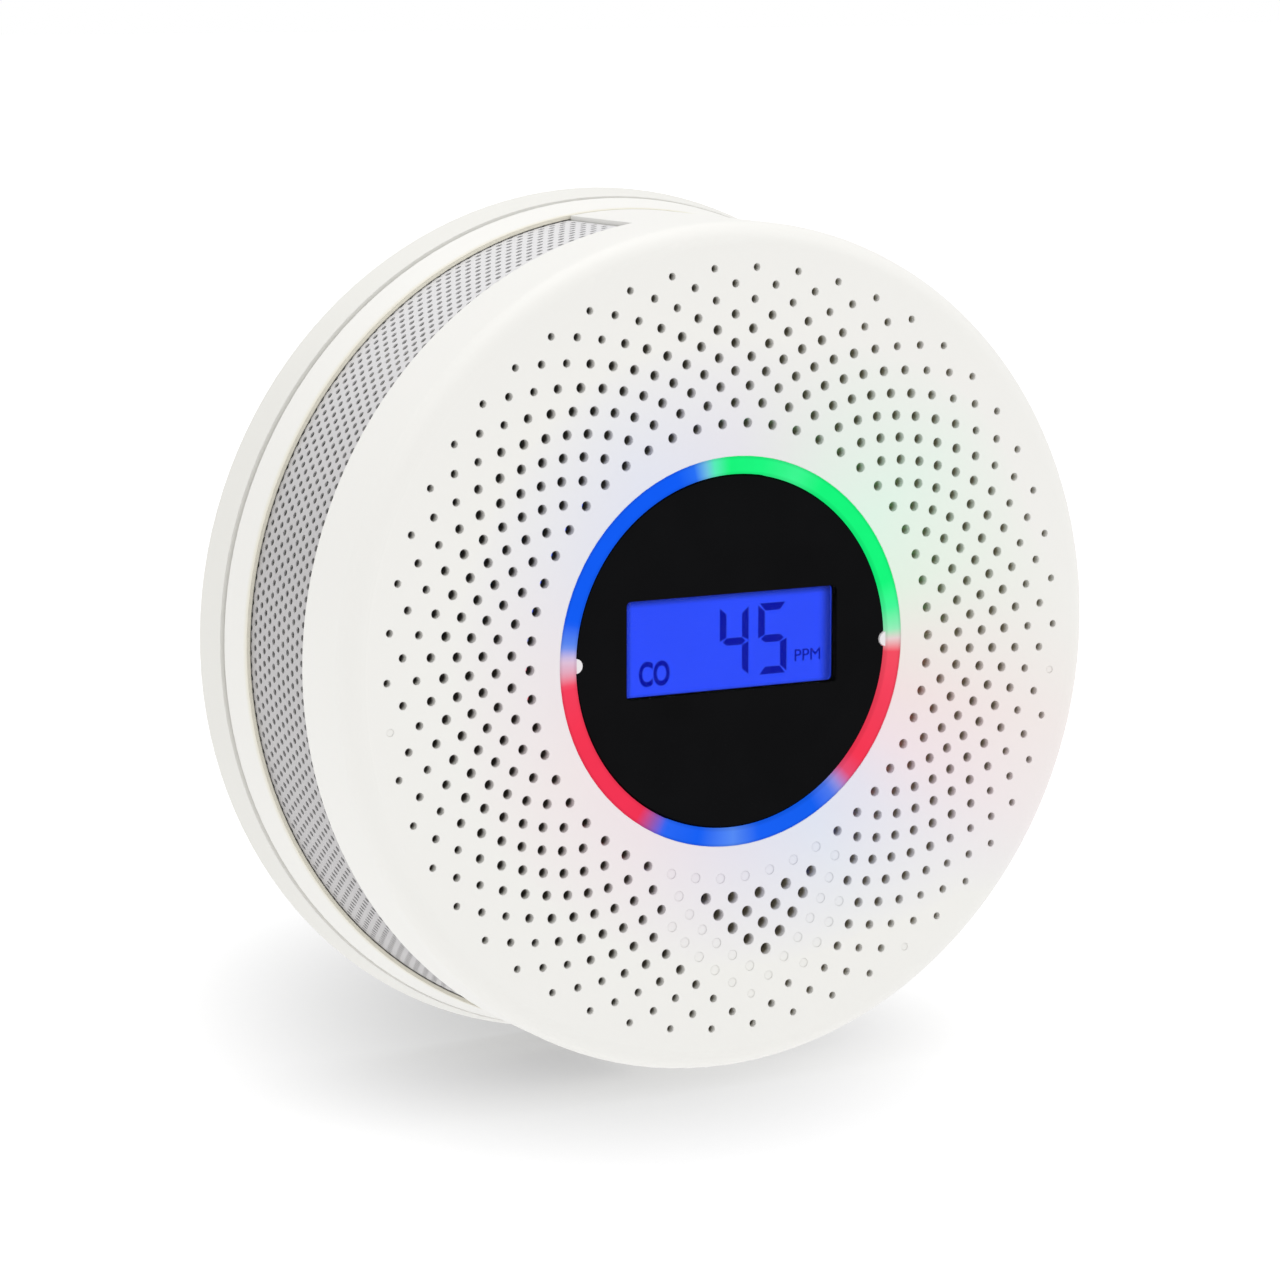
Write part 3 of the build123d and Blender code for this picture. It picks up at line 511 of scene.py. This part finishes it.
def battery_jacket(name, facing):
    """Teal jacket with a silver band, between bare steel ends; facing is +1 with the positive end right."""
    mat = new_material(name)
    where = place(mat)
    along = maths(mat, "MULTIPLY", node(mat, "SeparateXYZ", {"Vector": where}).outputs["X"], facing)
    band = between(mat, along, 14.0, 14.3)
    positive = between(mat, along, 27.2, 27.4)
    negative = between(mat, along, -20.8, -21.0)
    bare = maths(mat, "MAXIMUM", positive, negative)
    grain = noise(mat, place(mat, (0.1, 1, 1)), 0.2, 3)
    scuff = noise(mat, where, 3, 4, 0.7)
    jacket = mix(mat, band, linear((24, 92, 84)), linear((196, 200, 202)))
    jacket = mix(mat, between(mat, scuff, 0.62, 0.75, 0, 0.25), jacket, linear((150, 160, 160)))
    tone = mix(mat, bare, jacket, linear((200, 200, 198)))
    principled(mat, Base_Color=tone, Metallic=maths(mat, "ADD", maths(mat, "MULTIPLY", bare, 0.7), 0.3),
               Roughness=maths(mat, "ADD", maths(mat, "MULTIPLY", grain, 0.2), 0.22),
               Normal=relief(mat, grain, 0.003, softened_edges(mat, 0.2)))
    return mat


def paper_label(name):
    """Plain matt label with a printed border and blank ruled rows."""
    mat = new_material(name)
    where = place(mat)
    split = node(mat, "SeparateXYZ", {"Vector": where}).outputs
    side = maths(mat, "ABSOLUTE", split["X"])
    up = maths(mat, "SUBTRACT", split["Z"], LABEL_Z)
    height = maths(mat, "ABSOLUTE", up)

    def within(half_w, half_h):
        """1 inside a rectangle round the label's middle, 0 outside, with slightly soft edges."""
        return maths(mat, "MULTIPLY", between(mat, side, half_w + 0.02, half_w - 0.02),
                     between(mat, height, half_h + 0.02, half_h - 0.02))

    inside = within(LABEL_HALF_W, LABEL_HALF_H)
    core = within(LABEL_HALF_W - LABEL_LINE, LABEL_HALF_H - LABEL_LINE)
    border = maths(mat, "SUBTRACT", inside, core)
    rows = between(mat, maths(mat, "PINGPONG", maths(mat, "ADD", up, 20), LABEL_ROW), 0.08, 0.05)
    rules = maths(mat, "MULTIPLY", rows, between(mat, side, 17.0, 16.9))
    ink = maths(mat, "MAXIMUM", border, maths(mat, "MULTIPLY", rules, 0.5), clamp=True)
    fibre = noise(mat, where, 0.3, 4, 0.7)
    paper = mix(mat, fibre, linear((238, 238, 234)), linear((228, 228, 224)))
    principled(mat, Base_Color=mix(mat, ink, paper, linear((90, 92, 96))), Roughness=0.7,
               Normal=relief(mat, fibre, 0.01, softened_edges(mat, 0.05)))
    return mat


def give(material, *names):
    """Puts one material on each of the named CAD nodes."""
    for name in names:
        mesh = nodes[name].data
        mesh.materials.clear()
        mesh.materials.append(material)


def dress_cad_nodes():
    give(moulded("white_cover", WHITE_ABS, base=glow_on_face), "front_cover")
    give(moulded("white_housing", WHITE_ABS, base=shaded_rim), "rear_housing")
    give(moulded("white_door", WHITE_ABS, roughness=0.5, depth=0.01), "battery_door")
    give(moulded("white_plate", (234, 233, 228), roughness=0.46), "mounting_plate")
    give(lit_ring("lit_ring"), "light_ring")
    give(printed_lens("printed_lens"), "display_lens")
    give(window_carrier("black_carrier"), "button_body")
    give(lcd_glow("lcd_glow"), "lcd_panel")
    give(moulded("light_guide", (226, 232, 244), roughness=0.2, depth=0.002), "lcd_backlight")
    give(moulded("zebra_strip", (196, 112, 128), roughness=0.6, grain=0.3), "lcd_elastomer")
    give(moulded("black_nylon", (26, 26, 27), roughness=0.5, mottle=0.2), "lcd_frame", "test_switch")
    give(circuit_board("solder_mask"), "main_board", "display_board")
    give(moulded("amber_film", (190, 112, 34), roughness=0.25, depth=0.002), "display_ribbon")
    give(moulded("natural_nylon", (226, 220, 200), roughness=0.45), "ribbon_connector", "switch_plunger",
         "horn_housing")
    give(moulded("potted_led", (240, 240, 226), roughness=0.15, depth=0.002, edge=0.1), "ring_leds")
    give(moulded("chip_epoxy", (30, 30, 32), roughness=0.6, grain=0.1, mottle=0.25), "microcontroller")
    give(moulded("coil_sleeve", (28, 28, 30), roughness=0.35, mottle=0.2), "sounder_coil")
    give(metal("can_aluminium", (200, 203, 206), roughness=0.3), "capacitors")
    give(metal("zinc_screw", (188, 190, 194), roughness=0.32), "board_screws", "cover_screws")
    give(moulded("foam_black", (40, 40, 42), roughness=0.9, grain=0.5, depth=0.08, mottle=0.3), "horn_gasket")
    give(metal("rolled_brass", (214, 176, 92), roughness=0.28, along=(0.08, 1, 1)), "piezo_plate")
    give(moulded("silvered_ceramic", (206, 202, 190), roughness=0.35, grain=0.1), "piezo_ceramic")
    give(metal("tinned", (206, 206, 202), roughness=0.25), "horn_contacts", "sensor_pins")
    give(moulded("cell_white", (228, 228, 222), roughness=0.3), "co_sensor")
    give(metal("nickel_cap", (196, 196, 198), roughness=0.22, along=(1, 1, 0.1)), "sensor_cap")
    give(moulded("porous_membrane", (242, 242, 242), roughness=0.85, grain=0.08, depth=0.02), "sensor_filter")
    give(battery_jacket("battery_jacket_a", 1), "battery_upper")
    give(battery_jacket("battery_jacket_b", -1), "battery_lower")
    give(metal("nickel_spring", (204, 204, 206), roughness=0.22), "battery_springs", "contact_plates")
    give(metal("hinge_steel", (186, 188, 192), roughness=0.28, along=(0.08, 1, 1)), "door_hinge_pin")
    give(paper_label("plain_label"), "door_label")


# ---- mesh pieces ----
def add_piece(name, mesh_builder, material, body):
    """Makes an object from a bmesh-filling function, in millimetres, and fastens it to a CAD body."""
    shape = bmesh.new()
    mesh_builder(shape)
    bmesh.ops.remove_doubles(shape, verts=shape.verts, dist=0.001)
    bmesh.ops.recalc_face_normals(shape, faces=shape.faces)
    bmesh.ops.scale(shape, vec=(MM, MM, MM), verts=shape.verts)
    mesh = bpy.data.meshes.new(name)
    shape.to_mesh(mesh)
    shape.free()
    mesh.materials.append(material)
    piece = bpy.data.objects.new(name, mesh)
    bpy.context.scene.collection.objects.link(piece)
    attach(piece, body)
    return piece


class ScreenSheet:
    """A side screen's sheet, laid out flat in millimetres: u runs round the axis, v from front to rear."""

    def __init__(self, shape, side):
        low_corner, high_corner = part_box("side_screens")
        front = low_corner.y / MM
        rear = high_corner.y / MM
        self.shape = shape
        self.side = side
        self.outer_r = high_corner.x / MM
        self.inner_r = self.outer_r - SCREEN_SHEET
        self.half_arc = radians(90 - PILLAR_HALF_ANGLE - END_GAP) * self.outer_r
        self.half_width = (rear - front) / 2
        self.middle = (front + rear) / 2
        self.known = {}

    def corner(self, u, v, radius):
        """The vertex for u, v, kept within the sheet's outline and bent round the axis."""
        key = (round(u, 3), round(v, 3), radius)
        if key not in self.known:
            u = max(-self.half_arc, min(self.half_arc, u))
            v = max(-self.half_width, min(self.half_width, v))
            angle = u / self.outer_r
            bent = (self.side * radius * cos(angle), self.middle + v, self.side * radius * sin(angle))
            self.known[key] = self.shape.verts.new(bent)
        return self.known[key]

    def face(self, *corners):
        """A face, unless keeping it within the outline has made two of its corners one."""
        vertices = [self.corner(u, v, radius) for u, v, radius in corners]
        if len(set(vertices)) == len(vertices):
            self.shape.faces.new(vertices)

    def cell(self, u, v):
        """One hexagonal cell round u, v, with a round hole unless it would come too near an edge."""
        rim = []
        hole = []
        for step in range(SCREEN_SIDES):
            angle = tau * step / SCREEN_SIDES
            reach = CELL_CORNER_R if step % 2 else SCREEN_PITCH / 2
            rim.append((u + reach * cos(angle), v + reach * sin(angle)))
            hole.append((u + SCREEN_HOLE_R * cos(angle), v + SCREEN_HOLE_R * sin(angle)))
        margin = SCREEN_HOLE_R + SCREEN_MARGIN
        punched = abs(u) < self.half_arc - margin and abs(v) < self.half_width - margin
        for step in range(SCREEN_SIDES):
            after = (step + 1) % SCREEN_SIDES
            for radius in (self.outer_r, self.inner_r):
                if punched:
                    self.face((*rim[step], radius), (*rim[after], radius),
                              (*hole[after], radius), (*hole[step], radius))
                else:
                    self.face((*rim[step], radius), (*rim[after], radius), (u, v, radius))
            if punched:
                self.face((*hole[step], self.outer_r), (*hole[after], self.outer_r),
                          (*hole[after], self.inner_r), (*hole[step], self.inner_r))

    def reaches(self, u, v):
        """Whether a cell round u, v has any part of itself on the sheet."""
        return (abs(u) <= self.half_arc + SCREEN_PITCH / 2 - 0.01
                and abs(v) <= self.half_width + CELL_CORNER_R - 0.01)


def punched_screen(side):
    """One curved screen of hexagonal cells, each with a round hole; side is +1 right, -1 left."""
    def build(shape):
        sheet = ScreenSheet(shape, side)
        rows = int(sheet.half_width / ROW_STEP) + 1
        columns = int(sheet.half_arc / SCREEN_PITCH) + 1
        for row in range(-rows, rows + 1):
            v = row * ROW_STEP
            shift = SCREEN_PITCH / 2 if row % 2 else 0.0
            for column in range(-columns, columns + 1):
                u = column * SCREEN_PITCH + shift
                if sheet.reaches(u, v):
                    sheet.cell(u, v)
        bmesh.ops.remove_doubles(shape, verts=shape.verts, dist=0.001)
        bmesh.ops.dissolve_degenerate(shape, edges=shape.edges, dist=0.001)
        close_border(shape, sheet.outer_r, sheet.inner_r)

    return build


def close_border(shape, outer_r, inner_r):
    """Joins the outer and inner skins round the sheet's cut edge."""
    middle = (outer_r + inner_r) / 2
    outline = [edge for edge in shape.edges if edge.is_boundary
               and all(sqrt(v.co.x ** 2 + v.co.z ** 2) > middle for v in edge.verts)]
    partner = {}
    for vert in dict.fromkeys(v for edge in outline for v in edge.verts):
        radius = sqrt(vert.co.x ** 2 + vert.co.z ** 2)
        inward = Vector((vert.co.x, 0, vert.co.z)) * (inner_r / radius)
        target = Vector((inward.x, vert.co.y, inward.z))
        partner[vert] = shape.verts.new(target)
    for edge in outline:
        first, second = edge.verts
        shape.faces.new((first, second, partner[second], partner[first]))


def digit_bars(shape, digit, centre_x, centre_z, front):
    """Lit bars of one seven-bar digit, with mitred ends and a small gap between bars."""
    half_w = DIGIT_W / 2 - STROKE / 2
    half_h = DIGIT_H / 2 - STROKE / 2
    across = half_w - BAR_GAP
    along = half_h / 2 - BAR_GAP
    centres = {"top": (0, half_h), "middle": (0, 0), "bottom": (0, -half_h),
               "upper_left": (-half_w, half_h / 2), "upper_right": (half_w, half_h / 2),
               "lower_left": (-half_w, -half_h / 2), "lower_right": (half_w, -half_h / 2)}
    for bar in BARS_OF[digit]:
        x, z = centres[bar]
        flat = bar in ("top", "middle", "bottom")
        length = across if flat else along
        outline = bar_outline(bar, length)
        points = [(u, w) if flat else (w, u) for u, w in outline]
        add_prism(shape, [(centre_x + x + u, centre_z + z + w) for u, w in points], front, SEGMENT_SHEET)


def bar_outline(bar, length):
    """Outline along (u) and across (w) one bar, cut back at its ends to leave air to its neighbours."""
    half = STROKE / 2
    inner_end = length - half * 0.8
    if bar == "middle":
        tip = length + half * 0.5
        return [(-tip, 0), (-inner_end, half), (inner_end, half), (tip, 0),
                (inner_end, -half), (-inner_end, -half)]
    outer = half if bar in ("top", "upper_right", "lower_right") else -half
    corner_end = length + half * 0.9
    middle_end = length + half * 0.2
    low_end = middle_end if bar.startswith("upper") else corner_end
    high_end = middle_end if bar.startswith("lower") else corner_end
    return [(-low_end, outer), (high_end, outer), (inner_end, -outer), (-inner_end, -outer)]


def add_prism(shape, outline, front, thickness):
    """Closed flat prism from an outline in x and z, between front and front + thickness in y."""
    near = [shape.verts.new((x, front, z)) for x, z in outline]
    far = [shape.verts.new((x, front + thickness, z)) for x, z in outline]
    shape.faces.new(near)
    shape.faces.new(far[::-1])
    for index in range(len(outline)):
        after = (index + 1) % len(outline)
        shape.faces.new((near[index], far[index], far[after], near[after]))


def display_word(name, word, height, squeeze, left, base, bold, front, material):
    """Small unit text of the display, as solid letters."""
    curve = bpy.data.curves.new(name, "FONT")
    curve.body = word
    curve.size = 1.0
    curve.extrude = SEGMENT_SHEET / 2
    curve.offset = bold
    text = bpy.data.objects.new(name + "_curve", curve)
    bpy.context.scene.collection.objects.link(text)
    bpy.context.view_layer.update()
    mesh = bpy.data.meshes.new_from_object(text.evaluated_get(bpy.context.evaluated_depsgraph_get()))
    bpy.data.objects.remove(text)
    xs = [v.co.x for v in mesh.vertices]
    ys = [v.co.y for v in mesh.vertices]
    scale = height / (max(ys) - min(ys))
    for vert in mesh.vertices:
        x, y, z = vert.co
        across = left + (x - min(xs)) * scale * squeeze
        up = base + (y - min(ys)) * scale
        vert.co = (across * MM, (front - z) * MM, up * MM)
    mesh.materials.clear()
    mesh.materials.append(material)
    piece = bpy.data.objects.new(name, mesh)
    bpy.context.scene.collection.objects.link(piece)
    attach(piece, "display_button")


def build_screens():
    sheet = punched_sheet("punched_sheet")
    right = add_piece("side_screen_right", punched_screen(1), sheet, "alarm")
    left = add_piece("side_screen_left", punched_screen(-1), sheet, "alarm")
    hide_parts("side_screens")
    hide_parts("side_screens")


def build_display():
    ink = lcd_segment("lcd_segment")
    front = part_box("lcd_panel")[0].y / MM - SEGMENT_SHEET - SEGMENT_AIR

    def digits(shape):
        for digit, centre_x in READING:
            digit_bars(shape, digit, centre_x, DIGIT_Z, front)

    add_piece("display_digits", digits, ink, "display_button")
    for name, word, height, squeeze, left, base, bold in DISPLAY_WORDS:
        display_word(name, word, height, squeeze, left, base, bold, front, ink)


# ---- studio ----
def floor_paper(name):
    """Back-lit milky sheet: the object's shadow is painted on as an oval where it glows dimmer to the camera,
    and it is pure white beyond, so no horizon shows.
    """
    mat = new_material(name)
    where = place(mat)
    fibre = noise(mat, where, 2.0, 3)
    from_shade = node(mat, "VectorMath", {0: where, 1: SHADE_CENTRE}, operation="SUBTRACT").outputs["Vector"]
    turned = node(mat, "VectorRotate", {"Vector": from_shade, "Angle": -radians(SHADE_TURN)},
                  rotation_type="Z_AXIS").outputs["Vector"]
    oval = node(mat, "VectorMath", {0: turned, 1: (1, SHADE_STRETCH, 1)}, operation="MULTIPLY").outputs[0]
    away = node(mat, "VectorMath", {0: oval}, operation="LENGTH").outputs["Value"]
    # painted shadow: dimmer glow in an oval under the object
    seen = between(mat, away, 0, SHADE_REACH, SHADE_GLOW, OPEN_GLOW)
    by_camera = node(mat, "LightPath").outputs["Is Camera Ray"]
    glow = node(mat, "Mix", {0: by_camera, 2: FLOOR_BOUNCE, 3: seen}, data_type="FLOAT").outputs[0]
    principled(mat, Base_Color=mix(mat, fibre, FLOOR_PALE, FLOOR_DULL), Roughness=0.9,
               Specular_IOR_Level=0.1, Emission_Color=(1, 1, 1, 1), Emission_Strength=glow)
    return mat


def build_floor(level):
    floor_shape = bmesh.new()
    bmesh.ops.create_grid(floor_shape, x_segments=1, y_segments=1, size=FLOOR_HALF_SIZE)
    mesh = bpy.data.meshes.new("studio_floor")
    floor_shape.to_mesh(mesh)
    floor_shape.free()
    mesh.materials.append(floor_paper("floor_paper"))
    floor = bpy.data.objects.new("studio_floor", mesh)
    floor.location.z = level
    bpy.context.scene.collection.objects.link(floor)


def soft_light(name, location, size, power):
    """Round area lamp turned towards the object."""
    light = bpy.data.lights.new(name, "AREA")
    light.shape = "DISK"
    light.size = size
    light.energy = power
    lamp = bpy.data.objects.new(name, light)
    lamp.location = location
    lamp.rotation_euler = (Vector(LAMP_TARGET) - Vector(location)).to_track_quat("-Z", "Y").to_euler()
    bpy.context.scene.collection.objects.link(lamp)


def build_world():
    """Pale light from all round; pure white where the camera looks past the object."""
    world = bpy.data.worlds.new("studio")
    world.use_nodes = True
    tree = world.node_tree
    seen = tree.nodes["Background"]
    seen.inputs["Color"].default_value = (1, 1, 1, 1)
    light = tree.nodes.new("ShaderNodeBackground")
    light.inputs["Strength"].default_value = WORLD_LIGHT
    light.inputs["Color"].default_value = (1, 1, 1, 1)
    path = tree.nodes.new("ShaderNodeLightPath")
    choose = tree.nodes.new("ShaderNodeMixShader")
    tree.links.new(path.outputs["Is Camera Ray"], choose.inputs[0])
    tree.links.new(light.outputs[0], choose.inputs[1])
    tree.links.new(seen.outputs[0], choose.inputs[2])
    tree.links.new(choose.outputs[0], tree.nodes["World Output"].inputs["Surface"])
    bpy.context.scene.world = world


def build_camera():
    """The photograph's view: from the left of the front and a little above."""
    azimuth = radians(CAMERA_AZIMUTH)
    elevation = radians(CAMERA_ELEVATION)
    away = Vector((-sin(azimuth) * cos(elevation), -cos(azimuth) * cos(elevation), sin(elevation)))
    face_centre = Vector((0, cad_box[0].y, 0))
    camera = bpy.data.cameras.new("camera")
    camera.lens = CAMERA_LENS
    camera.clip_start = 0.01
    eye = bpy.data.objects.new("camera", camera)
    eye.location = face_centre + away * CAMERA_DISTANCE * MM
    level = (Vector(CAMERA_AIM) * MM - eye.location).to_track_quat("-Z", "Y")
    eye.rotation_euler = (level @ Quaternion((0, 0, 1), radians(CAMERA_ROLL))).to_euler()
    bpy.context.scene.collection.objects.link(eye)
    bpy.context.scene.camera = eye


dress_cad_nodes()
build_screens()
build_display()
build_floor(cad_box[0].z)
build_world()
for lamp_settings in LAMPS:
    soft_light(*lamp_settings)
build_camera()
bpy.context.scene.view_settings.view_transform = "Standard"
